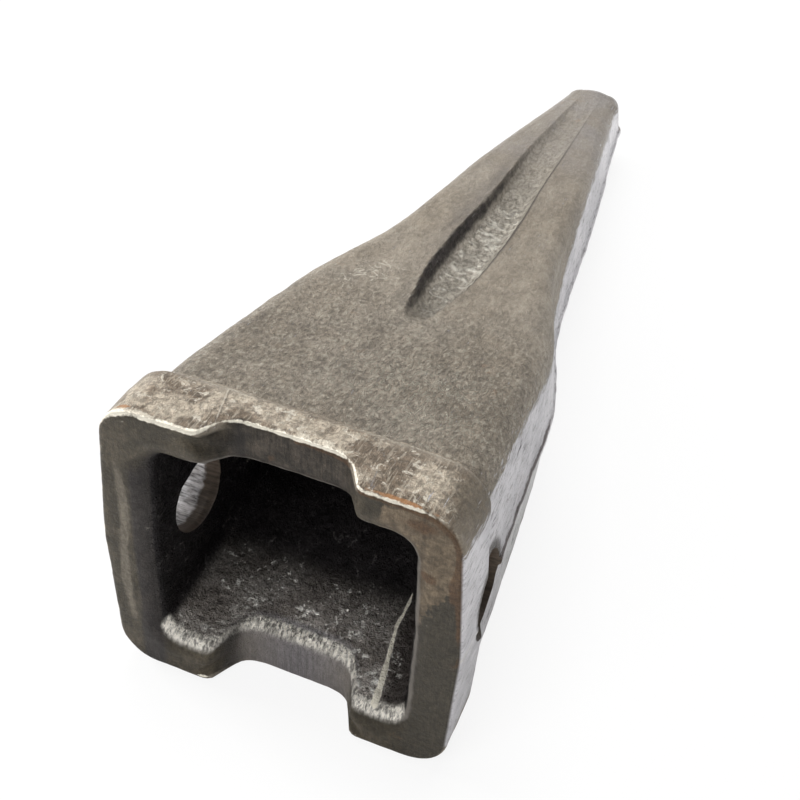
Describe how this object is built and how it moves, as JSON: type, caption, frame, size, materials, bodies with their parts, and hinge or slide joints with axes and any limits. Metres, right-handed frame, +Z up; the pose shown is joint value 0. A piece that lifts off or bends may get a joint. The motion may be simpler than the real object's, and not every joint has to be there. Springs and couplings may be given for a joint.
{
  "type": "bucket tooth",
  "caption": "Forged steel digging tooth with a tapered blade, a long shallow trough, a hollow square socket, a notched rim and a cross pin hole.",
  "frame": {"origin": "on the floor, under the middle of the bounding box", "axes": "+Y from the mouth of the socket towards the tip, +Z up, X across; the tooth lies nose-down on its collar and its tip, about 7.4 degrees off level"},
  "size_m": [0.1026, 0.271, 0.0939],
  "materials": {
    "forged_steel": "as forged: matt grey-brown scale, ground bright on the rim's edges, oily on the sides"
  },
  "bodies": {
    "root": {"tooth": "forged_steel"}
  },
  "joints": []
}
